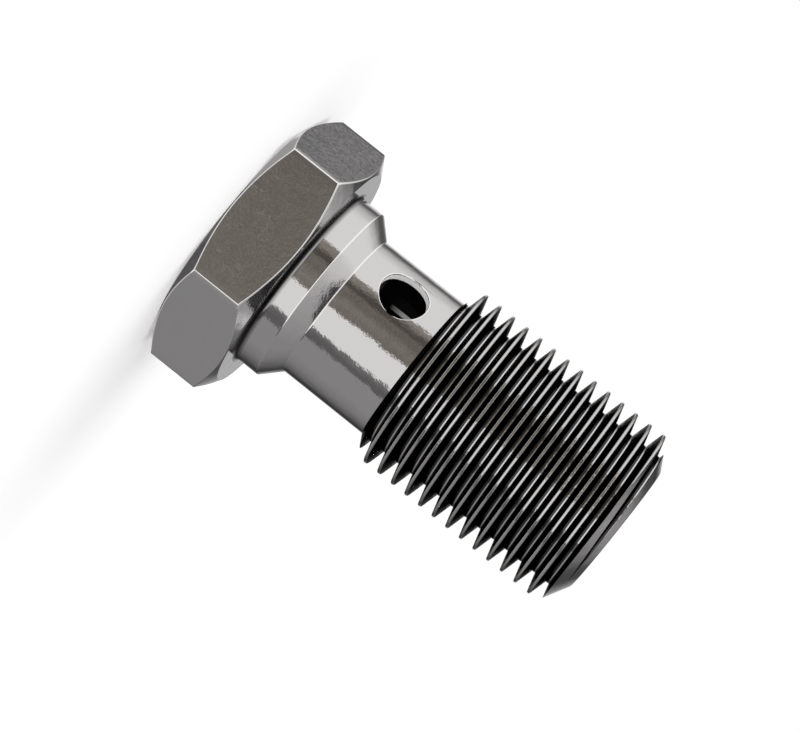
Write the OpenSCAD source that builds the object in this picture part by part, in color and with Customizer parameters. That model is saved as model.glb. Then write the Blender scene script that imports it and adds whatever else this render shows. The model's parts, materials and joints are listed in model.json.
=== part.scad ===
// Banjo bolt: a hollow hexagon bolt that clamps a ring-shaped hose or pipe
// fitting and feeds fluid through it. It is turned and drilled from one bar.
// It stands on the top of its head, with the thread pointing up the +Z axis.

/* [Head] */
// Width of the hexagon across its flats
head_af = 23; // [21:0.5:30]
// Height of the head, from its top to the face that seats on the washer
head_h = 7; // [5:0.5:12]
// Angle of the two head chamfers from the end faces
head_chamfer = 30; // [15:1:35]
// Width of the flat rim left between each chamfer circle and the flats
head_rim = 0.15; // [0.1:0.05:0.5]

/* [Shank] */
// Length of the shank below the head
shank_l = 35; // [28:0.5:60]
// Diameter of the collar that centres the fitting
collar_d = 17.7; // [16:0.1:18]
// Length of the collar
collar_h = 2.35; // [1:0.05:4]
// Radius of the fillet between the collar and the face that seats on the washer
collar_root = 0.45; // [0.2:0.05:0.6]
// Diameter of the neck that leaves a ring of space for the fluid
neck_d = 14.3; // [12:0.1:14.4]
// Angle of the step from the collar to the neck, from the axis
step_angle = 45; // [30:1:60]

/* [Thread] */
// Outside diameter of the thread
thread_d = 18; // [17:0.1:20]
// Pitch of the right-hand thread
pitch = 1.5; // [1:0.25:2]
// Diameter at the bottom of the thread groove
root_d = 14.5; // [14.45:0.05:16]
// Width of the flat along the crest
crest_w = 0.25; // [0.1:0.05:0.3]
// Width of the flat along the root
root_w = 0.3; // [0.1:0.05:0.35]
// Distance from the head to the start of the thread
thread_from = 12.7; // [12:0.1:18]
// Angle of the chamfers at both ends of the thread, from the end faces
thread_chamfer = 29; // [15:1:45]
// Diameter of the flat face at the thread's free end
tip_d = 12.5; // [11:0.1:14]

/* [Fluid passages] */
// Diameter of the bore along the axis
bore_d = 9; // [6:0.1:10]
// Width of the chamfer round the mouth of the bore
mouth_chamfer = 0.5; // [0.2:0.1:0.8]
// Angle of the drill point at the bottom of the bore
drill_point = 118; // [90:1:140]
// Diameter of the hole drilled across the neck
cross_d = 4.5; // [2.5:0.1:5]
// Distance from the head to the middle of the cross hole
cross_from = 8.6; // [8:0.1:9.5]
// Depth that the bore runs on past the side of the cross hole
bore_past = 0.8; // [0.3:0.1:1.5]

/* [Hidden] */

$fn = 96;
thread_sides = 48;       // flats that stand for one turn of the thread
spare = 1;               // how far a cutting or trimming shape runs past the solid

head_corner_r = head_af / 2 / cos(30);
head_face_r = head_af / 2 - head_rim;
seat_z = head_h;                                  // face that seats on the washer
collar_r = collar_d / 2;
step_z = seat_z + collar_h;                       // where the collar ends
neck_z = step_z + (collar_r - neck_d / 2) / tan(step_angle);
thread_z = seat_z + thread_from;
end_z = seat_z + shank_l;
cross_z = seat_z + cross_from;
bore_bottom_z = cross_z - cross_d / 2 - bore_past;
drill_point_h = bore_d / 2 / tan(drill_point / 2);

crest_r = thread_d / 2;
root_r = root_d / 2;
flank_w = (pitch - crest_w - root_w) / 2;
// One turn of the thread's outline along the axis: [height above the turn's start, radius]
turn_outline = [
    [0, root_r],
    [flank_w, crest_r],
    [flank_w + crest_w, crest_r],
    [flank_w + crest_w + flank_w, root_r]
];
// The first crest passes the cross hole's side of the bolt this far above the head
first_crest = 13.96;
outline_from = seat_z + first_crest - flank_w - crest_w / 2;
turns_below = ceil((outline_from - thread_z) / pitch) + 2;
turns_from = outline_from - turns_below * pitch;
turns = ceil((end_z - turns_from) / pitch) + 1;

// The hexagon, with both its ends chamfered by a cone round the axis
module head() {
    chamfer_h = (head_corner_r + spare - head_face_r) * tan(head_chamfer);
    intersection() {
        cylinder(r = head_corner_r, h = head_h, $fn = 6);
        rotate_extrude()
            polygon([
                [0, 0],
                [head_face_r, 0],
                [head_corner_r + spare, chamfer_h],
                [head_corner_r + spare, head_h - chamfer_h],
                [head_face_r, head_h],
                [0, head_h]
            ]);
    }
}

// Collar with a fillet at its root, step and neck. It starts inside the head and
// runs up inside the thread, so that all are one solid.
module shank() {
    fillet = [
        for (turned = [0 : 15 : 90])
            [
                collar_r + collar_root * (1 - sin(turned)),
                seat_z + collar_root * (1 - cos(turned))
            ]
    ];
    rotate_extrude()
        polygon([
            [0, seat_z - spare],
            [collar_r + collar_root, seat_z - spare],
            each fillet,
            [collar_r, step_z],
            [neck_d / 2, neck_z],
            [neck_d / 2, thread_z + spare],
            [0, thread_z + spare]
        ]);
}

// A bar with the thread along it, longer than the finished thread at both ends.
// Each column of points follows the outline along the axis at one angle, and
// each column starts a little higher than the last, so the turns climb.
module threaded_bar() {
    per_turn = len(turn_outline);
    column = per_turn * turns;
    function point(i, side) =
        let (
            p = turn_outline[i % per_turn],
            turn = floor(i / per_turn),
            angle = 360 * side / thread_sides
        )
        [
            p[1] * cos(angle),
            p[1] * sin(angle),
            turns_from + p[0] + pitch * (turn + side / thread_sides)
        ];
    function at(i, side) =
        side < thread_sides ? i + column * side : i + per_turn;

    points = [
        for (side = [0 : thread_sides - 1])
            for (i = [0 : column - 1])
                point(i, side),
        [0, 0, turns_from - pitch],
        [0, 0, turns_from + pitch * (turns + 2)]
    ];
    bottom = column * thread_sides;
    top = bottom + 1;
    wall = [
        for (side = [0 : thread_sides - 1])
            let (last = column - 2 - (side == thread_sides - 1 ? per_turn : 0))
            for (i = [0 : last])
                each [
                    [at(i, side), at(i + 1, side + 1), at(i, side + 1)],
                    [at(i, side), at(i + 1, side), at(i + 1, side + 1)]
                ]
    ];
    bottom_loop = concat(
        [for (side = [0 : thread_sides]) at(0, side)],
        [for (i = [per_turn - 1 : -1 : 1]) at(i, 0)]
    );
    top_loop = concat(
        [for (side = [0 : thread_sides - 1]) at(column - 1, side)],
        [for (i = [column - 2 : -1 : column - 1 - per_turn]) at(i, thread_sides - 1)]
    );
    n = len(bottom_loop);
    m = len(top_loop);
    ends = [
        for (i = [0 : n - 1]) [bottom, bottom_loop[i], bottom_loop[(i + 1) % n]],
        for (i = [0 : m - 1]) [top, top_loop[(i + 1) % m], top_loop[i]]
    ];
    polyhedron(points = points, faces = concat(wall, ends));
}

// The thread, trimmed by a cone at each end as the lathe chamfers it
module thread() {
    reach = crest_r + spare;
    start_h = (reach - neck_d / 2) * tan(thread_chamfer);
    end_h = (reach - tip_d / 2) * tan(thread_chamfer);
    intersection() {
        threaded_bar();
        rotate_extrude()
            polygon([
                [0, thread_z],
                [neck_d / 2, thread_z],
                [reach, thread_z + start_h],
                [reach, end_z - end_h],
                [tip_d / 2, end_z],
                [0, end_z]
            ]);
    }
}

// The blind bore from the thread's end, with its drill point and chamfered mouth
module bore() {
    rotate_extrude()
        polygon([
            [0, bore_bottom_z - drill_point_h],
            [bore_d / 2, bore_bottom_z],
            [bore_d / 2, end_z - mouth_chamfer],
            [bore_d / 2 + mouth_chamfer + spare, end_z + spare],
            [0, end_z + spare]
        ]);
}

// The hole across the neck, in line with two corners of the hexagon
module cross_hole() {
    translate([0, 0, cross_z])
        rotate([0, 90, 0])
            cylinder(d = cross_d, h = collar_d, center = true);
}

module banjo_bolt() {
    color([0.62, 0.61, 0.60])
        difference() {
            union() {
                head();
                shank();
                thread();
            }
            bore();
            cross_hole();
        }
}

banjo_bolt();
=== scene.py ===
# %% [markdown]
# Banjo bolt
#
# A banjo bolt is a hollow hexagon bolt. It clamps a ring-shaped fitting to a port, and
# fluid runs in at its threaded end, up the bore and out through a hole across the neck.
# It is turned and drilled from one bar of steel, so it is one piece here too. Each cell
# below makes one form of it, in the order in which a lathe would make the real one.

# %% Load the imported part
import json
from math import atan2, cos, pi, radians, sin, tan

import bmesh
import bpy
from mathutils import Matrix, Quaternion, Vector


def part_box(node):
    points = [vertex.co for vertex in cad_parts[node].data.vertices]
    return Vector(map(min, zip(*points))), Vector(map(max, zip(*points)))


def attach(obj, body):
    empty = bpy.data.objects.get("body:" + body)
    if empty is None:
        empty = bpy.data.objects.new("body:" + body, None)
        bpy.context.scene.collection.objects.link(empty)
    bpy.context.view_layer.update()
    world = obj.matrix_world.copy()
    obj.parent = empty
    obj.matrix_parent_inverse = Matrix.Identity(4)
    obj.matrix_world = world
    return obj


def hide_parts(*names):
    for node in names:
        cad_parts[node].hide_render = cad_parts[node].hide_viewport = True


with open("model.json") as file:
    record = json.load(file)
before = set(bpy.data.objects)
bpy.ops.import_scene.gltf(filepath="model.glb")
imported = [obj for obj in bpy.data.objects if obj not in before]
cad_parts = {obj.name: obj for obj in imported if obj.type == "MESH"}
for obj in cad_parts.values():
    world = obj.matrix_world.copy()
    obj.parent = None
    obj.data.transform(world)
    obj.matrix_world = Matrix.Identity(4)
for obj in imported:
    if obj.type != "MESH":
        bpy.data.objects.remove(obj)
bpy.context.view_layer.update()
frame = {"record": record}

# %% [markdown]
# The sizes that other things fit to are written in the part's record as mounts, so they
# are read from there, and what is left is named here in millimetres, as on a drawing.
# Last come the two small rounds, the spare length by which one shape overreaches another,
# how close two vertices lie before they are welded to one, and how many columns of faces
# a full turn has.

# %% Sizes
MM = 0.001
mount = {m["name"]: m for m in frame["record"]["mounts"]}
part_low, part_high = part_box("banjo_bolt")

head_flats_r = (part_high.y - part_low.y) / 2
head_h = mount["seat"]["pos_m"][2]
collar_r = mount["collar"]["dims"]["r_mm"] * MM
collar_half_l = mount["collar"]["dims"]["length_mm"] * MM / 2
collar_end_z = mount["collar"]["pos_m"][2] + collar_half_l
collar_root = mount["collar"]["pos_m"][2] - collar_half_l - head_h
neck_r = mount["cross_hole"]["dims"]["length_mm"] * MM / 2
neck_z = collar_end_z + collar_r - neck_r
hole_r = mount["cross_hole"]["dims"]["r_mm"] * MM
hole_z = mount["cross_hole"]["pos_m"][2]
bore_r = mount["axial_bore"]["dims"]["r_mm"] * MM
crest_r = mount["thread"]["dims"]["r_mm"] * MM
end_z = part_high.z
thread_z = end_z - mount["thread"]["dims"]["length_mm"] * MM

head_rim = 0.15 * MM
head_face_r = head_flats_r - head_rim
head_chamfer = radians(30)
pitch = 1.5 * MM
root_r = 7.25 * MM
crest_w = 0.25 * MM
root_w = 0.3 * MM
first_crest_z = head_h + 13.96 * MM
thread_chamfer = radians(29)
tip_r = 6.25 * MM
mouth_chamfer = 0.5 * MM
drill_point = radians(118)
bore_past = 0.8 * MM

edge_round = 0.12 * MM
turned_round = 0.08 * MM
spare = 1.0 * MM
weld = 0.001 * MM
fine_weld = 0.0005 * MM
columns = 192
print("flats", round(2 * head_flats_r / MM, 2), "neck", round(2 * neck_r / MM, 2), "mm")

# %% [markdown]
# A turned form is a line swept round an axis. Spin does that: it takes the edges of half
# an outline and carries them round in steps. The corners of the line are rounded first,
# with a vertex bevel, because no tool leaves a perfect corner and it is the tiny round
# that catches a bright line of light.

# %% Turning a half outline into a solid
def add_line(shape, outline):
    """Draws a half outline, as (radius, height) pairs, and gives its vertices."""
    dots = [shape.verts.new((radius, 0, height)) for radius, height in outline]
    for lower, upper in zip(dots, dots[1:]):
        shape.edges.new((lower, upper))
    return dots


def round_corners(shape, corners, size, steps=4):
    """Rounds some corners of a line."""
    bmesh.ops.bevel(shape, geom=corners, offset=size, offset_type="OFFSET", segments=steps,
                    profile=0.5, affect="VERTICES", clamp_overlap=True, material=-1)


def turn(shape, climb=0.0, start=0.0):
    """Sweeps the line once round the Z axis, starting at a share of a column.

    With a climb, the line rises by that much as it goes round.
    """
    bmesh.ops.rotate(shape, verts=shape.verts, cent=(0, 0, 0),
                     matrix=Matrix.Rotation(start * 2 * pi / columns, 3, "Z"))
    bmesh.ops.spin(shape, geom=shape.verts[:] + shape.edges[:], cent=(0, 0, 0), axis=(0, 0, 1),
                   dvec=(0, 0, climb / columns), angle=2 * pi, steps=columns, use_merge=climb == 0)
    bmesh.ops.remove_doubles(shape, verts=shape.verts, dist=weld)


print("a full turn has", columns, "columns of faces")

# %% [markdown]
# One bolt shows many finishes, so each face is told which one it has, and the finish's
# place in this list is its material slot. Turned is the plain lathe finish, and coned the
# duller one of the step and the head's chamfers. The hexagon's flats are ground. Rounded
# edges are edge, a brighter tint that is a painted highlight, or quiet, plain steel, on the
# side that lies in shade. Relief is the fillet under the head, painted black as shade in its
# crease. Start is the thread's beginning, painted dark as shade, crest its bright top and
# the bright line at its root, and the next finish the darker grey corner beside the crest.
# Flank is its sides, painted black as shade, and the one after it the bottom of its groove,
# painted dark grey as shade. Bore and hole are the walls that the drills leave, painted
# black inside as shade and bright near their mouths as painted light.

# %% Finishes
FINISHES = [
    "turned", "coned", "ground", "edge", "quiet", "relief",
    "start", "crest", "worn", "flank", "stained", "bore", "hole",
]
shade_azimuth = radians(122)
shade_half = radians(60)


def give_finish(faces, finish):
    """Gives faces one of the finishes."""
    for face in faces:
        face.material_index = FINISHES.index(finish)


def round_finish(faces):
    """Gives rounded edges the brighter edge finish, a painted highlight, or plain steel where they lie
    on the shaded side.
    """
    for face in faces:
        middle = face.calc_center_median()
        shaded = cos(atan2(middle.y, middle.x) - shade_azimuth) > cos(shade_half)
        give_finish([face], "quiet" if shaded else "edge")


def ring(shape, radius, height, reach):
    """The faces near a circle round the axis."""
    found = []
    for face in shape.faces:
        middle = face.calc_center_median()
        if abs(middle.xy.length - radius) < reach and abs(middle.z - height) < reach:
            found.append(face)
    return found


def tell(shape, name):
    """Prints how much a shape holds, and whether it is closed."""
    leaks = sum(not edge.is_manifold for edge in shape.edges)
    volume = round(shape.calc_volume() / MM**3, 1)
    print(name, len(shape.faces), "faces,", leaks, "leaks,", volume, "mm3")


def add_object(shape, name):
    """Makes an object of a shape, which ends with that."""
    mesh = bpy.data.meshes.new(name)
    shape.to_mesh(mesh)
    shape.free()
    made = bpy.data.objects.new(name, mesh)
    bpy.context.scene.collection.objects.link(made)
    return made


def finish_shape(shape, name):
    """Points the faces outwards and makes the object, with a slot for each finish."""
    bmesh.ops.recalc_face_normals(shape, faces=shape.faces)
    tell(shape, name)
    made = add_object(shape, name)
    for finish in FINISHES:
        known = bpy.data.materials.get(finish)
        made.data.materials.append(known or bpy.data.materials.new(finish))
    return made


print(len(FINISHES), "finishes")

# %% [markdown]
# The blank is the bolt before its thread is cut: head, collar, step and neck. It is spun
# as a round bar first, with a head wide enough to hold the hexagon. The outline has an
# extra vertex just above the fillet, and one on each side of the cross hole, so that the
# fillet and the hole each touch only a narrow band of faces.

# %% The blank
blank = bmesh.new()
rim_r = head_flats_r * 1.5
rim_low_z = 1 * MM
rim_high_z = head_h - rim_low_z
fillet_margin = 0.2 * MM
hole_margin = 0.4 * MM
outline = add_line(blank, [
    (0, 0),
    (head_face_r, 0),
    (rim_r, rim_low_z),
    (rim_r, rim_high_z),
    (head_face_r, head_h),
    (collar_r, head_h),
    (collar_r, head_h + collar_root + fillet_margin),
    (collar_r, collar_end_z),
    (neck_r, neck_z),
    (neck_r, hole_z - hole_r - hole_margin),
    (neck_r, hole_z + hole_r + hole_margin),
    (neck_r, thread_z + spare),
    (0, thread_z + spare),
])
round_corners(blank, [outline[5]], collar_root, steps=10)
round_corners(blank, [outline[7], outline[8]], turned_round)
turn(blank)

step_reach = 0.3 * MM
relief_z = head_h + 0.32 * MM
relief_reach = 0.35 * MM
step = ring(blank, (collar_r + neck_r) / 2, (collar_end_z + neck_z) / 2, step_reach)
relief = ring(blank, collar_r + collar_root / 2, relief_z, relief_reach)
give_finish(step, "coned")
# The rounded edges of the step get a painted highlight, except on the shaded side.
round_finish(ring(blank, collar_r, collar_end_z, turned_round))
round_finish(ring(blank, neck_r, neck_z, turned_round))
give_finish(relief, "relief")
print("step:", len(step), "faces, relief:", len(relief), "faces")

# %% [markdown]
# The rim of the round head is pressed in to a hexagon: each point of it moves to where
# the cone of the chamfer meets the flat. That gives the curved edges that every chamfered
# hexagon has. Those edges and the six corners are then rounded with an edge bevel.

# %% The hexagon
def hexagon_r(angle):
    """How far the hexagon's side is from the axis at an angle; corners are at 0, 60 and so on."""
    return head_flats_r / cos((angle % (pi / 3)) - pi / 6)


rim = [vert for vert in blank.verts if vert.co.xy.length > rim_r - spare]
for vert in rim:
    angle = vert.co.xy.angle_signed(Vector((1, 0)))
    vert.co.xy *= hexagon_r(angle) / rim_r
    drop = (vert.co.xy.length - head_face_r) * tan(head_chamfer)
    vert.co.z = drop if vert.co.z < head_h / 2 else head_h - drop


def is_rim_edge(edge):
    """True along the chamfers' curved edges and down the hexagon's six corners."""
    if not all(vert in rim_set for vert in edge.verts):
        return False
    upright = abs(edge.verts[0].co.z - edge.verts[1].co.z) > head_h / 2
    return not upright or edge.verts[0].co.xy.length > head_flats_r / cos(pi / 6) - edge_round


rim_set = set(rim)
rim_edges = [edge for edge in blank.edges if is_rim_edge(edge)]
chamfers = [face for face in blank.faces if any(vert in rim_set for vert in face.verts)]
flats = [face for face in blank.faces if all(vert in rim_set for vert in face.verts)]
give_finish(chamfers, "coned")
give_finish(flats, "ground")
rounded = bmesh.ops.bevel(blank, geom=rim_edges, offset=edge_round, offset_type="OFFSET", segments=3,
                          profile=0.5, affect="EDGES", clamp_overlap=True, material=-1)
# The rounded edges of the hexagon get a painted highlight, except on the shaded side.
round_finish(rounded["faces"])
bolt = finish_shape(blank, "bolt")

# %% [markdown]
# The thread is one tooth's outline, copied up the bolt a pitch at a time and then swept
# once round while it climbs by one pitch. Each turn then ends where the next one starts.
# Its two ends are open, so each is drawn to a point on the axis, which closes it.

# %% The thread
flank_w = (pitch - crest_w - root_w) / 2
crest_round = 0.06 * MM
lit_root_w = 0.12 * MM
upper_groove_shade_h = 0.6 * MM
lower_groove_shade_h = 0.45 * MM
turns_below = 2
turns = 18
first_turn_z = first_crest_z - flank_w - crest_w / 2 - turns_below * pitch
slant = flank_w / (crest_r - root_r)

thread = bmesh.new()
tooth = add_line(thread, [
    (root_r, first_turn_z),
    (root_r + upper_groove_shade_h, first_turn_z + upper_groove_shade_h * slant),
    (crest_r, first_turn_z + flank_w),
    (crest_r, first_turn_z + flank_w + crest_w),
    (root_r + lower_groove_shade_h, first_turn_z + pitch - root_w - lower_groove_shade_h * slant),
    (root_r, first_turn_z + pitch - root_w),
    (root_r, first_turn_z + pitch - lit_root_w),
    (root_r, first_turn_z + pitch),
])
round_corners(thread, tooth[2:4], crest_round, steps=4)
bmesh.ops.spin(thread, geom=thread.verts[:] + thread.edges[:], cent=(0, 0, 0), axis=(0, 0, 1),
               dvec=(0, 0, pitch), angle=0, steps=turns - 1, use_duplicate=True)
bmesh.ops.remove_doubles(thread, verts=thread.verts, dist=weld)
turn(thread, climb=pitch)

last_turn_z = first_turn_z + (turns + 1) * pitch
middle_z = (first_turn_z + last_turn_z) / 2
open_edges = [edge for edge in thread.edges if edge.is_boundary]
lower_edges = [edge for edge in open_edges if edge.verts[0].co.z < middle_z]
upper_edges = [edge for edge in open_edges if edge.verts[0].co.z > middle_z]
for loop, point_z in ((lower_edges, first_turn_z - pitch), (upper_edges, last_turn_z + pitch)):
    drawn = bmesh.ops.extrude_edge_only(thread, edges=loop)["geom"]
    drawn = [part for part in drawn if isinstance(part, bmesh.types.BMVert)]
    bmesh.ops.pointmerge(thread, verts=drawn, merge_co=(0, 0, point_z))
print("thread:", turns, "turns of", round(pitch / MM, 2), "mm")

# %% [markdown]
# The crests keep the plain steel and their rounded corners are a darker grey. The flanks
# are painted black and the bottom of the groove dark grey, as painted shade, and so is the
# thread's start. So the depth of a face below the crest says which finish it has, and
# its height within its own turn says which side of the groove it is on.

# %% The groove's finishes
crest_dip = 0.002 * MM
start_h = 1.4 * MM


def groove_finish(face):
    """The finish of a face of the thread, by how deep it lies and where it is in its turn."""
    middle = face.calc_center_median()
    depth = crest_r - middle.xy.length
    angle = Vector((1, 0)).angle_signed(middle.xy) if middle.xy.length > 0 else 0
    climbed = pitch * ((-angle / (2 * pi)) % 1)
    along = (middle.z - first_turn_z - climbed) % pitch
    if depth < crest_round:
        return "crest" if depth < crest_dip else "worn"
    if along > pitch - lit_root_w:
        return "crest"
    # The thread's start is painted dark as shade.
    if middle.z < thread_z + start_h and along < pitch / 2:
        return "start"
    # The bottom of the groove is painted dark grey as shade, to a height on each side.
    groove_shade_h = upper_groove_shade_h if along < pitch / 2 else lower_groove_shade_h
    return "stained" if depth > crest_r - root_r - groove_shade_h else "flank"


for face in thread.faces:
    give_finish([face], groove_finish(face))
threaded_bar = finish_shape(thread, "threaded_bar")

# %% [markdown]
# The bar is longer than the thread. A plain blank of the finished length, with a cone at
# both ends, will trim it, so that the last turns run out in the chamfers as they do on a
# lathe. Its columns lie half a column off the thread's, because a boolean works best
# where no two edges lie on each other.

# %% The chamfered blank
start_end_z = thread_z + 2 * MM
reach = crest_r + spare
inside = neck_r - spare / 2
chamfered = bmesh.new()
outline = add_line(chamfered, [
    (0, thread_z - (neck_r - inside) * tan(thread_chamfer)),
    (inside, thread_z - (neck_r - inside) * tan(thread_chamfer)),
    (reach, thread_z + (reach - neck_r) * tan(thread_chamfer)),
    (reach, end_z - (reach - tip_r) * tan(thread_chamfer)),
    (tip_r, end_z),
    (0, end_z),
])
round_corners(chamfered, [outline[4]], edge_round)
turn(chamfered, start=0.5)
# The low faces near the thread's start are painted dark as shade.
low_faces = [face for face in chamfered.faces if face.calc_center_median().z < start_end_z]
give_finish(low_faces, "start")
chamfered_blank = finish_shape(chamfered, "chamfered_blank")

# %% [markdown]
# The bore and the cross hole are drilled, so each is cut with the shape of its drill.
# Both drills are turned a little, for the same reason as the chamfered blank.

# %% The drills
bore_bottom_z = hole_z - hole_r - bore_past
drill = bmesh.new()
outline = add_line(drill, [
    (0, bore_bottom_z - bore_r / tan(drill_point / 2)),
    (bore_r, bore_bottom_z),
    (bore_r, end_z - mouth_chamfer),
    (bore_r + mouth_chamfer + spare, end_z + spare),
    (0, end_z + spare),
])
turn(drill, start=0.25)
give_finish(drill.faces, "bore")
bore_drill = finish_shape(drill, "bore_drill")

hole_sides = 96
hole_start = radians(1)
lying = Matrix.Rotation(pi / 2, 4, "Y") @ Matrix.Rotation(hole_start, 4, "Z")
drill = bmesh.new()
bmesh.ops.create_cone(drill, segments=hole_sides, radius1=hole_r, radius2=hole_r, cap_ends=True,
                      depth=2 * neck_r + 2 * spare, matrix=Matrix.Translation((0, 0, hole_z)) @ lying)
give_finish(drill.faces, "hole")
cross_drill = finish_shape(drill, "cross_drill")

# %% [markdown]
# Now the pieces are put together in the order of the work: the thread is trimmed, joined
# to the blank and drilled out. The exact solver keeps each face's slot, so a drilled wall
# has its drill's finish.

# %% Trimming, joining and drilling
def cut(piece, tool, operation):
    """Joins, trims or drills the piece with a tool, and takes the tool away."""
    change = piece.modifiers.new(operation.lower(), "BOOLEAN")
    change.operation = operation
    change.solver = "EXACT"
    change.object = tool
    with bpy.context.temp_override(object=piece, active_object=piece, selected_objects=[piece]):
        bpy.ops.object.modifier_apply(modifier=change.name)
    bpy.data.objects.remove(tool)
    shape = bmesh.new()
    shape.from_mesh(piece.data)
    tell(shape, operation.lower() + " leaves")
    shape.free()


cut(threaded_bar, chamfered_blank, "INTERSECT")
cut(bolt, threaded_bar, "UNION")
cut(bolt, bore_drill, "DIFFERENCE")
cut(bolt, cross_drill, "DIFFERENCE")

# %% [markdown]
# The drill leaves a sharp rim where the cross hole breaks through the neck. That rim is
# found by its finishes, turned on one side and hole on the other, and rounded.

# %% The cross hole's rims
shape = bmesh.new()
shape.from_mesh(bolt.data)
mouth = {FINISHES.index("turned"), FINISHES.index("hole")}
rim_edges = [edge for edge in shape.edges if {face.material_index for face in edge.link_faces} == mouth]
print("hole rims:", len(rim_edges), "edges")
rounded = bmesh.ops.bevel(shape, geom=rim_edges, offset=edge_round, offset_type="OFFSET", segments=3,
                          profile=0.5, affect="EDGES", clamp_overlap=False, material=-1)
# The rounded rim of the cross hole gets the brighter edge tint, a painted highlight.
give_finish(rounded["faces"], "edge")
bmesh.ops.remove_doubles(shape, verts=shape.verts, dist=fine_weld)
tell(shape, "bolt")
shape.to_mesh(bolt.data)
shape.free()

# %% [markdown]
# A mirror shows every facet, so each corner of each face is told which way the true
# surface faces there. On a turned face that is straight out from the axis, tipped by the
# face's own slope. On the thread it is the face's own normal, swung round the axis to the
# corner. In the cross hole it is straight in to the hole's own axis. The rounded edges
# take theirs from the faces on both sides, so that they blend. A flat face's normal is
# copied, because the one that bmesh gives is gone once its mesh is freed.

# %% True normals
axis_gap = 0.05 * MM
flat_slope = 0.9999
slope_spare = 0.003
main_slopes = (0, cos(pi / 4), cos(thread_chamfer), 1)


def turned_normal(place, slope, outwards=1):
    """The way a turned face looks at a place, with its slope as the height of its normal."""
    level = Vector((place.x, place.y, 0)).normalized() * outwards
    return level * (max(0.0, 1 - slope * slope) ** 0.5) + Vector((0, 0, slope))


def corner_normal(face, place):
    """The true normal of a face at one of its corners, or None where it blends."""
    finish = FINISHES[face.material_index]
    slope = face.normal.z
    if finish in ("edge", "quiet", "relief"):
        return None
    if finish == "ground" or place.xy.length < axis_gap or abs(slope) > flat_slope:
        return face.normal.copy()
    middle = face.calc_center_median()
    if finish in ("start", "crest", "worn", "flank", "stained"):
        swing = middle.xy.angle_signed(place.xy)
        return Quaternion((0, 0, 1), -swing) @ face.normal
    if finish == "hole":
        return Vector((0, -place.y, hole_z - place.z)).normalized()
    if finish == "bore":
        return turned_normal(place, slope, outwards=-1)
    if middle.xy.length > head_face_r:
        return turned_normal(place, cos(head_chamfer) if slope > 0 else -cos(head_chamfer))
    off = min(abs(abs(slope) - known) for known in main_slopes)
    return turned_normal(place, slope) if off < slope_spare else None


def blended_normal(vert):
    """The mean of the true normals round a vertex, or of its faces' normals if none is known."""
    known = [corner_normal(face, vert.co) for face in vert.link_faces]
    known = [normal for normal in known if normal is not None]
    return sum(known or [face.normal for face in vert.link_faces], Vector()).normalized()


print("slopes that turned faces have:", [round(slope, 2) for slope in main_slopes])

# %% [markdown]
# The normals are now worked out corner by corner, and set. The finished bolt rides on the
# part's one body and takes the place of its CAD node.

# %% Setting the normals
shape = bmesh.new()
shape.from_mesh(bolt.data)
corner_normals = []
for face in shape.faces:
    for vert in face.verts:
        normal = corner_normal(face, vert.co)
        corner_normals.append(blended_normal(vert) if normal is None else normal)
shape.free()
for face in bolt.data.polygons:
    face.use_smooth = True
bolt.data.normals_split_custom_set(corner_normals)
bolt.data.update()
print("set", len(corner_normals), "corner normals")
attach(bolt, "root")
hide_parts("banjo_bolt")

# %% [markdown]
# Polished metal has hardly any colour of its own: what it shows is the room. A node tree
# for it is short, but its sums are hard to read as boxes and wires, so one small class
# lets a sum be written as Python.

# %% Sums of nodes
class Link:
    """A node's output that can be added, subtracted and multiplied like a number."""

    def __init__(self, tree, socket):
        self.tree = tree
        self.socket = socket

    def out(self, name):
        """Another output of the same node."""
        return Link(self.tree, self.socket.node.outputs[name])

    def sum(self, operation, *others, clamp=False):
        """A Math node on this and other values. Clamped, its result stays from 0 to 1."""
        values = dict(enumerate((self, *others)))
        return self.tree.add("Math", {"operation": operation, "use_clamp": clamp}, values)

    def __add__(self, other):
        return self.sum("ADD", other)

    def __mul__(self, other):
        return self.sum("MULTIPLY", other)

    def __sub__(self, other):
        return self.sum("SUBTRACT", other)

    def __rsub__(self, other):
        return (self * -1.0) + other

    __radd__ = __add__
    __rmul__ = __mul__


print("a Link can be added, subtracted and multiplied")

# %% [markdown]
# Every other kind of node comes from one method, add. The three after it only shorten
# what is asked of it often: the parts of a vector, noise, and a mix of two colours.

# %% Node trees
class Tree:
    """The nodes of a material or of the world."""

    def __init__(self, owner):
        owner.use_nodes = True
        self.nodes = owner.node_tree.nodes
        self.links = owner.node_tree.links
        self.nodes.clear()

    def add(self, kind, settings=None, values=None, output=0):
        """Adds a node: its settings or stops first, then what feeds its inputs. Gives one output."""
        node = self.nodes.new("ShaderNode" + kind)
        for name, setting in (settings or {}).items():
            if name == "stops":
                self.set_stops(node.color_ramp.elements, setting)
            else:
                setattr(node, name, setting)
        for name, value in (values or {}).items():
            if isinstance(value, Link):
                self.links.new(value.socket, node.inputs[name])
            else:
                node.inputs[name].default_value = value
        return Link(self, node.outputs[output]) if node.outputs else None

    def set_stops(self, elements, stops):
        """Fills a colour ramp with (place, colour) stops."""
        elements.remove(elements[0])
        for number, (place, colour) in enumerate(stops):
            element = elements[0] if number == 0 else elements.new(place)
            element.position = place
            element.color = colour

    def separate(self, vector):
        """The three parts of a vector. The first output is X."""
        return self.add("SeparateXYZ", values={0: vector})

    def noise(self, place, size, detail, **values):
        """Noise whose waves are about as long as the size."""
        values = {"Vector": place, "Scale": 1 / size, "Detail": detail, **values}
        return self.add("TexNoise", values=values)

    def mix(self, share, first, second):
        """A colour between two, by a share."""
        return self.add("Mix", {"data_type": "RGBA"}, {0: share, 6: first, 7: second}, output=2)


def ramp(value, start, width):
    """0 up to the start, then rising to 1 over the width."""
    return ((value - start) * (1 / width)).sum("ADD", 0.0, clamp=True)


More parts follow.
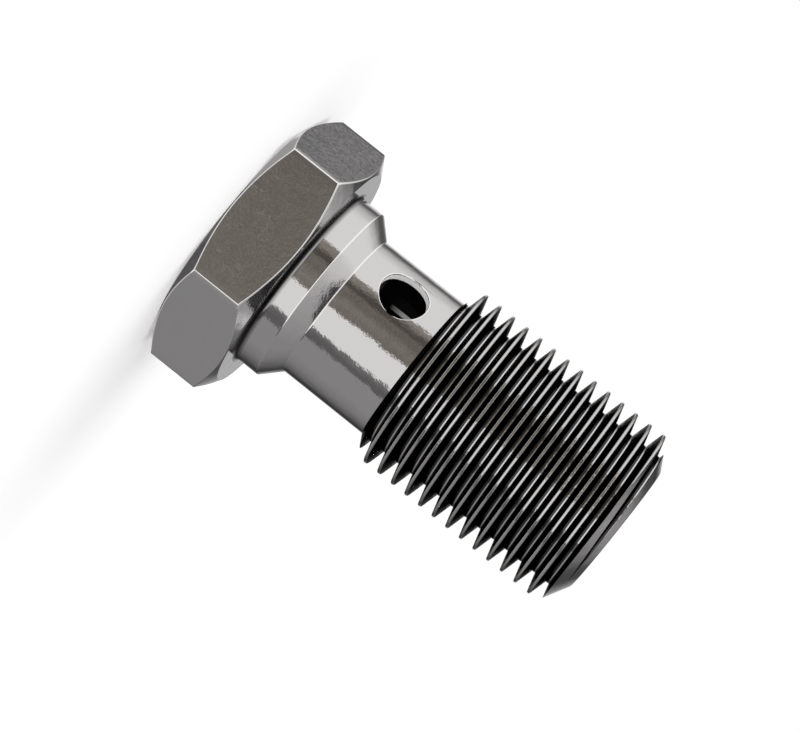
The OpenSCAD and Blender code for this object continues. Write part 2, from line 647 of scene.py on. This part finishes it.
print("a Tree makes the nodes of a material or of the world")

# %% [markdown]
# The steel is bright plating over a turned surface. It is almost a mirror, with a fine
# crinkle in it that frays the edges of what it reflects, and a broad, slow one that makes
# them wander. Both are noise, laid on as a bump in thousandths of a millimetre. The fine
# one has few octaves, because detail finer than a picture's dot only blurs it. The rim
# is how bright the steel is where it is seen edge-on.

# %% The steel
steel_tint = (0.64, 0.62, 0.62, 1)
# The tint below, for rounded edges, is brighter than the steel: a painted highlight.
highlight_tint = (0.88, 0.87, 0.86, 1)
# A near black, painted shade in the crease of the fillet under the head.
crease_shade = (0.012, 0.011, 0.011, 1)
# A near black, painted shade: the thread's flanks and the inside of the holes.
shade_black = (0.0025, 0.0022, 0.0022, 1)
# A dark grey, painted shade in the bottom of the thread's groove.
groove_shade_tint = (0.055, 0.055, 0.055, 1)
# A dark grey, painted shade on the thread's start.
start_shade_tint = (0.055, 0.055, 0.055, 1)
# A darker grey for the rounded corner beside the crest.
dim_corner_tint = (0.39, 0.38, 0.36, 1)
steel_rim = (0.8, 0.8, 0.8, 1)
dark_rim = (0.02, 0.02, 0.02, 1)
# A pale tint, painted light on the lips and mouths of the holes.
lit_pale = (0.85, 0.84, 0.83, 1)
fine_size = 0.24 * MM
broad_size = 1.6 * MM


def crinkle(tree, fine, broad):
    """A bump made of two noises, each as deep as given, in millimetres."""
    place = tree.add("TexCoord").out("Object")
    fine_wave = tree.noise(place, fine_size, detail=2.0, Roughness=0.5)
    broad_wave = tree.noise(place, broad_size, detail=1.0, Roughness=0.5)
    height = fine_wave * fine + broad_wave * broad
    return tree.add("Bump", values={"Strength": 1.0, "Distance": MM, "Height": height})


def plate(tree, tint, roughness, fine, broad, rim=steel_rim):
    """Ends a tree with the shader of the plating, with its own roughness and crinkle."""
    shader = tree.add("BsdfPrincipled", values={
        "Base Color": tint,
        "Metallic": 1.0,
        "Roughness": roughness,
        "Specular Tint": rim,
        "Normal": crinkle(tree, fine, broad),
    })
    tree.add("OutputMaterial", values={"Surface": shader})


def make_steel(name, roughness, fine, broad, tint=steel_tint, rim=steel_rim):
    """A finish of one tint all over."""
    plate(Tree(bpy.data.materials[name]), tint, roughness, fine, broad, rim)
    print(name, "has roughness", roughness)


make_steel("turned", roughness=0.03, fine=0.008, broad=0.03)
make_steel("coned", roughness=0.1, fine=0.005, broad=0.03)
# Edge is painted brighter as a highlight; quiet is the same steel for the shaded side.
make_steel("edge", roughness=0.05, fine=0.003, broad=0.0, tint=highlight_tint)
make_steel("quiet", roughness=0.1, fine=0.003, broad=0.0)
# The thread's start is painted dark as shade.
make_steel("start", roughness=0.25, fine=0.004, broad=0.0, tint=start_shade_tint, rim=dark_rim)
make_steel("crest", roughness=0.05, fine=0.01, broad=0.03)
make_steel("worn", roughness=0.1, fine=0.004, broad=0.0, tint=dim_corner_tint)
# The flanks are painted black as shade.
make_steel("flank", roughness=0.3, fine=0.002, broad=0.0, tint=shade_black, rim=dark_rim)
# The bottom of the groove is painted dark grey as shade.
make_steel("stained", roughness=0.2, fine=0.002, broad=0.0, tint=groove_shade_tint, rim=dark_rim)

# %% [markdown]
# Where the collar meets the head, the very bottom of the fillet is painted black as shade in
# the crease, and the painted shade clears a little way up. So the same steel gets a mask on the height
# there.

# %% The collar's root
crease_shade_h = 0.12 * MM
clear_h = 0.45 * MM
tree = Tree(bpy.data.materials["relief"])
height = tree.separate(tree.add("TexCoord").out("Object")).out("Z")
unshaded = ramp(height, head_h + crease_shade_h, clear_h)
plate(tree, tree.mix(unshaded, crease_shade, steel_tint), roughness=0.1, fine=0.004, broad=0.0)
print("the collar's root clears over", round(clear_h / MM, 2), "mm")

# %% [markdown]
# The hexagon's flats are ground, not turned, and they are not all alike. The two flats
# beside the corner on +X have a fine, worm-like grain. Those on the side of -Y have short
# streaks along the bolt, and the rest are plain. So the grain and the streaks are two
# noises, each kept to its own flats by a mask on the place.

# %% The grain of the ground flats
grain_size = 0.42 * MM
grain_contrast = 0.9
streak_size = 0.13 * MM
streak_stretch = (1, 1, 0.5)
streak_level = 0.47
streak_contrast = 8.0
middle_level = 0.5
soft_corner = 0.2 * MM
dull_tint = (0.51, 0.495, 0.5, 1)
fresh_tint = (0.79, 0.77, 0.77, 1)

tree = Tree(bpy.data.materials["ground"])
place = tree.add("TexCoord").out("Object")
split = tree.separate(place)
is_grained = ramp(split, head_flats_r * tan(pi / 6), soft_corner)
is_streaked = (split.out("Y") * (-1 / soft_corner)).sum("ADD", 0.0, clamp=True)
grain = tree.noise(place, grain_size, detail=1.0, Roughness=0.6, Distortion=2.5)
drawn = tree.add("VectorMath", {"operation": "MULTIPLY"}, {0: place, 1: streak_stretch})
streak = tree.noise(drawn, streak_size, detail=0.0, Roughness=0.6, Distortion=0.5)
mottle = ((grain - middle_level) * (is_grained * grain_contrast)).sum("ADD", middle_level)
mottle = mottle.sum("ADD", (streak - streak_level) * (is_streaked * streak_contrast), clamp=True)
grained = tree.mix(mottle, dull_tint, fresh_tint)
print("grain", round(grain_size / MM, 2), "mm, streaks", round(streak_size / MM, 2), "mm")

# %% [markdown]
# A few pale hairlines run about on the grained flats. A hairline is the narrow band where
# a slow noise crosses its middle value, and a second noise keeps it only in a few places.

# %% The hairlines
hair_size = 2.2 * MM
hair_w = 0.02
hair_strength = 0.8
hair_tint = (0.95, 0.94, 0.93, 1)
patch_size = 0.7 * hair_size
patch_level = 0.54
patch_edge = 0.05

wander = tree.noise(place, hair_size, detail=1.0, Roughness=0.5, Distortion=2.5)
patch = tree.noise(place, patch_size, detail=0.0)
hair = ((wander - middle_level).sum("ABSOLUTE") * (-1 / hair_w)).sum("ADD", 1.0, clamp=True)
hair = hair * is_grained * ramp(patch, patch_level, patch_edge)
scratched = tree.mix(hair * hair_strength, grained, hair_tint)
plate(tree, scratched, roughness=0.06, fine=0.009, broad=0.02)
print("hairlines wander over", round(hair_size / MM, 2), "mm")

# %% [markdown]
# The inside of the holes is painted black as shade. The cross hole is painted bright, as
# painted light, for the first part of its wall, and the bore is painted brighter towards its
# open mouth. A bright streak, a painted reflection, runs up the bore from the cross hole.
# Each is a mask worked out from Object coordinates.

# %% The holes
lip_depth = 0.75 * MM
soft_edge = 0.05 * MM
bore_lit_h = 6 * MM
# A painted reflection: a bright streak up the bore's wall.
glint_azimuth = radians(-98.3)
glint_half_w = radians(4)
glint_soft_w = radians(1)
glint_from_z = hole_z - 1.2 * MM
glint_rise = 1.5 * MM
lip_glow = 0.8
mouth_share = 0.72
glow_strength = 0.25


def make_hole(name, mask_of, metal):
    """Painted black inside as shade, and painted bright where the mask is 1, as painted light.

    The glow stands for the light that bounces about in there.
    """
    tree = Tree(bpy.data.materials[name])
    split = tree.separate(tree.add("TexCoord").out("Object"))
    mask, glowing = mask_of(split)
    shader = tree.add("BsdfPrincipled", values={
        "Base Color": tree.mix(mask, shade_black, lit_pale),
        "Metallic": 1.0 - mask * (1.0 - metal),
        "Roughness": 0.3,
        "Normal": crinkle(tree, fine=0.004, broad=0.02),
        "Emission Color": tree.mix(glowing, shade_black, lit_pale),
        "Emission Strength": glow_strength,
    })
    tree.add("OutputMaterial", values={"Surface": shader})
    print(name, "is black inside")


def lip_mask(x):
    """The cross hole's lip, painted bright as painted light, by the distance from the bolt's axis."""
    y = x.out("Y")
    from_axis = (x * x + y * y).sum("POWER", 0.5)
    lip = ramp(from_axis, neck_r - lip_depth - soft_edge / 2, soft_edge)
    return lip, lip * lip_glow


def bore_mask(x):
    """The bore's mouth, painted brighter with the height as painted light, and a painted reflection
    streak up its wall.
    """
    height = x.out("Z")
    mouth = ramp(height, end_z - bore_lit_h, bore_lit_h)
    off_glint = (x.out("Y").sum("ARCTAN2", x) - glint_azimuth).sum("ABSOLUTE")
    glint = ((glint_half_w - off_glint) * (1 / glint_soft_w)).sum("ADD", 0.0, clamp=True)
    return mouth * mouth_share, glint * ramp(height, glint_from_z, glint_rise)


make_hole("hole", lip_mask, metal=0.0)
make_hole("bore", bore_mask, metal=1.0)

# %% [markdown]
# A photographer lights polished metal with what stands round it: white paper, with cards
# that put darker stripes into the reflections. The cards stand far off, and only
# reflections see them. They shine by themselves, each place with its own brightness.

# %% Light that only reflections see
def add_stage(shape, name):
    """Makes a stage piece with a material of its own name."""
    made = add_object(shape, name)
    made.data.materials.append(bpy.data.materials.new(name))
    return made


def hide_from_all_but_gloss(piece):
    """Leaves a piece to be seen by reflections only."""
    for ray in ("camera", "diffuse", "transmission", "shadow", "volume_scatter"):
        setattr(piece, "visible_" + ray, False)


def glow(tree, colour, opacity):
    """Light of a colour, mixed with clear."""
    light = tree.add("Emission", values={"Color": colour, "Strength": 1.0})
    clear = tree.add("BsdfTransparent")
    mixed = tree.add("MixShader", values={0: opacity, 1: clear, 2: light})
    tree.add("OutputMaterial", values={"Surface": mixed})


def blend(tree, along, low, high, stops):
    """A colour for each place along a line from low to high. A stop is (place, colour)."""
    share = (along - low) * (1 / (high - low))
    placed = [((at - low) / (high - low), colour) for at, colour in stops]
    return tree.add("ValToRGB", {"stops": placed}, {0: share})


def turned_by(tree, place, degrees):
    """A place turned about the Z axis."""
    values = {"Vector": place, "Angle": radians(degrees)}
    return tree.add("VectorRotate", {"rotation_type": "Z_AXIS"}, values)


def grey(brightness, opacity=1.0, tint=(1, 1, 1)):
    """A colour for a stop."""
    return (*(brightness * part for part in tint), opacity)


print("tools for light: glow, blend and grey")

# %% [markdown]
# Each card is a curved panel, an arc of a wide cylinder round the bolt. Along its width it
# has stops of brightness, and where a stop is clear the white of the room shows. A card
# that leans puts a slanting edge into the reflection, and one with a rise changes with the
# height too. A disc closes the room above or below.

# %% Making a card and a disc
card_r = 1.0
card_columns = 60
card_margin = 5
puff_stretch = (8, 8, 30)


def add_card(name, stops, low, high, soft, away=card_r, tint=(1, 1, 1), lean=0.0, rise=None, smoke=0.0):
    """A curved panel round the bolt. A stop is (azimuth in degrees, brightness, opacity).

    It leans by some degrees for each metre of height. With rise, its brightness also
    changes with the height, and smoke makes it uneven.
    """
    first, last = stops[0][0], stops[-1][0]
    centre = (first + last) / 2
    shape = bmesh.new()
    side = add_line(shape, [(away, low), (away, high)])
    margin = abs(lean) * max(abs(low), high) + card_margin
    bmesh.ops.rotate(shape, verts=shape.verts, cent=(0, 0, 0),
                     matrix=Matrix.Rotation(radians(first - margin), 3, "Z"))
    bmesh.ops.spin(shape, geom=side + shape.edges[:], cent=(0, 0, 0), axis=(0, 0, 1),
                   angle=radians(last - first + 2 * margin), steps=card_columns)
    card = add_stage(shape, name)
    hide_from_all_but_gloss(card)

    tree = Tree(card.data.materials[0])
    place = tree.add("TexCoord").out("Object")
    ahead = tree.separate(turned_by(tree, place, -centre))
    height = ahead.out("Z")
    azimuth = ahead.out("Y").sum("ARCTAN2", ahead) * (180 / pi) + centre + height * lean
    tinted = [(at, grey(bright, clear, tint)) for at, bright, clear in stops]
    colour = blend(tree, azimuth, first, last, tinted)
    opacity = colour.out("Alpha")
    if rise:
        upward = blend(tree, height, low, high, [(at, grey(bright)) for at, bright in rise])
        colour = tree.add("VectorMath", {"operation": "MULTIPLY"}, {0: colour, 1: upward})
    if smoke:
        flat = tree.add("VectorMath", {"operation": "MULTIPLY"}, {0: place, 1: puff_stretch})
        puff = tree.noise(flat, size=1.0, detail=2.0, Distortion=0.6)
        shade = (puff - middle_level) * smoke + 1.0
        colour = tree.add("VectorMath", {"operation": "SCALE"}, {0: colour, "Scale": shade})
    edges = ((height - low) * (1 / soft)).sum("MINIMUM", (high - height) * (1 / soft), clamp=True)
    glow(tree, colour, opacity * edges)
    print(name, "from", first, "to", last, "degrees")


def add_disc(name, radius, centre, stops, toward=0.0):
    """A flat round panel above or below. A stop is (metres toward an azimuth, brightness)."""
    shape = bmesh.new()
    bmesh.ops.create_circle(shape, cap_ends=True, radius=radius, segments=64,
                            matrix=Matrix.Translation(centre))
    disc = add_stage(shape, name)
    hide_from_all_but_gloss(disc)
    tree = Tree(disc.data.materials[0])
    ahead = tree.separate(turned_by(tree, tree.add("TexCoord").out("Object"), -toward))
    greys = [(at, grey(bright)) for at, bright in stops]
    glow(tree, blend(tree, ahead, -radius, radius, greys), 1.0)
    print(name, "at", centre[2], "m")


print("cards stand", card_r, "m off or a little nearer")

# %% [markdown]
# The camera looks from an azimuth of 38 degrees. The brown card is behind it and to one
# side. The grey card stands to one side of the bolt and the slim card to the other. The
# window, back and low cards stand beyond the bolt, at three heights. The top and front
# cards hang high, for surfaces that slant up, and the two discs close the room.

# %% The cards
add_card("brown_card", low=-0.4, high=0.12, soft=0.06, tint=(1, 0.915, 0.81), smoke=1.6, stops=[
    (-16, 0.34, 0), (-14.3, 0.34, 0), (-13.7, 0.34, 1), (-8, 0.32, 1), (-5, 0.25, 1),
    (-1.5, 0.15, 1), (1, 0.09, 1), (4, 0.1, 1), (6.5, 0.15, 1), (9.5, 0.22, 1), (15.5, 0.175, 1),
    (22, 0.215, 1), (27, 0.235, 1), (38, 0.27, 1), (42.3, 0.3, 1), (42.9, 0.3, 0), (46, 0.3, 0)])
add_card("grey_card", low=-0.5, high=1.3, soft=0.1, lean=-26, stops=[
    (78, 0.22, 0), (82.2, 0.25, 0), (82.8, 0.25, 1), (87, 0.2, 1), (92, 0.15, 1), (99, 0.15, 1),
    (102, 0.34, 1), (138, 0.34, 1), (153, 0.3, 1), (163, 0.26, 1), (171, 0.21, 1), (178, 0.165, 1),
    (185, 0.1, 1), (192, 0.055, 1), (198, 0.07, 1), (205, 0.15, 1), (212, 0.35, 1), (218, 0.7, 1),
    (224, 0.9, 0)])
add_card("top_card", low=0.98, high=2.3, soft=0.15, away=0.95, stops=[
    (92, 0.46, 0), (98, 0.46, 1), (112, 0.44, 1), (140, 0.4, 1), (160, 0.32, 1), (172, 0.27, 1),
    (180, 0.25, 0)])
add_card("slim_card", low=-0.5, high=1.3, soft=0.1, away=0.97, lean=26, stops=[
    (-125, 0.95, 0), (-119.6, 0.8, 1), (-116.6, 0.48, 1), (-113.6, 0.26, 1), (-110.6, 0.15, 1),
    (-107, 0.17, 1), (-103.5, 0.27, 1), (-98.6, 0.45, 1), (-92.6, 0.7, 1), (-80.6, 0.87, 1),
    (-68, 1, 0)])
add_card("window_card", low=-0.03, high=0.8, soft=0.06, away=0.94, lean=10, stops=[
    (200, 0.35, 0), (205, 0.35, 1), (209, 0.6, 1), (213, 0.72, 1), (223, 0.72, 1), (226, 0.9, 1),
    (230, 0.7, 1), (233, 0.4, 1), (238, 0.2, 1), (244, 0.2, 1), (250, 0.3, 1), (260, 0.6, 0)], rise=[
    (-0.03, 1), (0.1, 0.85), (0.2, 0.72), (0.27, 0.62), (0.4, 0.42), (0.5, 0.3), (0.6, 0.2),
    (0.8, 0.15)])
add_card("back_card", low=0.45, high=1.65, soft=0.15, away=0.92, stops=[
    (182, 1, 0), (196, 1, 1), (240, 1, 1), (262, 1, 0)], rise=[
    (0.45, 0.1), (0.73, 0.1), (0.84, 0.14), (0.93, 0.19), (1.1, 0.27), (1.3, 0.36), (1.65, 0.42)])
add_card("low_card", low=-1.9, high=-0.42, soft=0.1, away=0.97, stops=[
    (172, 0.25, 0), (182, 0.25, 1), (200, 0.2, 1), (206, 0.13, 1), (212, 0.3, 1), (222, 0.35, 1),
    (230, 0.5, 1), (240, 0.5, 1), (250, 0.6, 0)], rise=[
    (-1.9, 0.4), (-1.2, 0.4), (-1.0, 1), (-0.42, 1)])
add_card("front_card", low=0.95, high=2.2, soft=0.15, away=0.9, stops=[
    (-45, 0.15, 0), (-22, 0.14, 1), (100, 0.14, 1), (125, 0.25, 0)])
add_disc("ceiling", radius=1.4, centre=(0, 0, 2.1), toward=-55, stops=[
    (-1.3, 0.36), (-0.7, 0.44), (-0.42, 0.48), (-0.1, 0.54), (0.25, 0.61), (0.59, 0.78), (0.93, 0.84),
    (1.25, 1)])
add_disc("under_card", radius=1.1, centre=(0, 0, -1.9), stops=[(0, 0.5)])

# %% [markdown]
# The bolt stands on white paper. The floor is a plain pale disc that takes the bolt's
# shadow and fades into the white round it, so no horizon shows. A faint glow that only the
# camera sees lifts it to full white.

# %% The floor
floor_r = 0.3
fade_from = 0.1
fade_w = 0.18
paper_lift = 0.13
white = grey(1.0)
paper_grey = grey(0.97)
shape = bmesh.new()
bmesh.ops.create_circle(shape, cap_ends=True, radius=floor_r, segments=96)
floor = add_stage(shape, "floor")
floor.visible_glossy = False
tree = Tree(floor.data.materials[0])
place = tree.add("TexCoord").out("Object")
distance = tree.add("VectorMath", {"operation": "LENGTH"}, {0: place}, output=1)
diffuse = tree.add("BsdfDiffuse", values={"Color": paper_grey})
lift = tree.add("Emission", values={"Color": white, "Strength": tree.add("LightPath") * paper_lift})
paper = tree.add("AddShader", values={0: diffuse, 1: lift})
clear = tree.add("BsdfTransparent")
faded = tree.add("MixShader", values={0: ramp(distance, fade_from, fade_w), 1: paper, 2: clear})
tree.add("OutputMaterial", values={"Surface": faded})
print("floor fades out from", fade_from, "m on")

# %% [markdown]
# The world is pure white to the camera and in reflections. As a light it is a little
# weaker, because on the floor the lamp and the glow add to it. The lamp gives the shadow.

# %% The white and the lamp
diffuse_light = 0.85
world = bpy.data.worlds.new("world")
bpy.context.scene.world = world
tree = Tree(world)
path = tree.add("LightPath")
seen = path.sum("MAXIMUM", path.out("Is Glossy Ray")).sum("MAXIMUM", path.out("Is Transmission Ray"))
strength = seen * (1 - diffuse_light) + diffuse_light
background = tree.add("Background", values={"Color": white, "Strength": strength})
tree.add("OutputWorld", values={"Surface": background})

lamp = bpy.data.objects.new("lamp", bpy.data.lights.new("lamp", "AREA"))
bpy.context.scene.collection.objects.link(lamp)
lamp.data.size = 0.25
lamp.data.energy = 0.35
lamp.visible_glossy = False
lamp.visible_camera = False
lamp_place = Vector((0.15, -0.2, 0.4))
lamp_turn = lamp_place.to_track_quat("Z", "Y").to_matrix().to_4x4()
lamp.matrix_world = Matrix.Translation(lamp_place) @ lamp_turn
print("lamp of", lamp.data.energy, "W at", tuple(round(part, 2) for part in lamp_place), "m")

# %% [markdown]
# The camera's place, lens and roll were fitted to the edges in the photo, where the bolt
# lies tilted across the frame. The part stands upright here, so the camera is rolled
# instead: its up direction is the bolt's axis, turned about the line of sight.

# %% The camera
camera_azimuth = radians(38.15)
camera_distance = 227.76 * MM
camera_height = 34.43 * MM
camera_aim = Vector((-0.31, 0.40, 18.59)) * MM
axis_turn = radians(128.54)

camera = bpy.data.objects.new("camera", bpy.data.cameras.new("camera"))
bpy.context.scene.collection.objects.link(camera)
bpy.context.scene.camera = camera
camera.data.sensor_width = 36
camera.data.lens = 118.27
camera.data.clip_start = 0.01
facing = Vector((cos(camera_azimuth), sin(camera_azimuth), 0))
camera_place = facing * camera_distance + Vector((0, 0, camera_height))
sight = (camera_aim - camera_place).normalized()
upright = (Vector((0, 0, 1)) - sight.z * sight).normalized()
up = Quaternion(sight, -axis_turn) @ upright
right = sight.cross(up)
rolled = Matrix((right, up, -sight)).transposed().to_4x4()
camera.matrix_world = Matrix.Translation(camera_place) @ rolled
print("camera", round(camera_distance / MM, 1), "mm off, lens", round(camera.data.lens, 1), "mm")

# %% [markdown]
# The view transform is Standard, so that a colour comes out as it is written.

# %% The view transform
bpy.context.scene.view_settings.view_transform = "Standard"
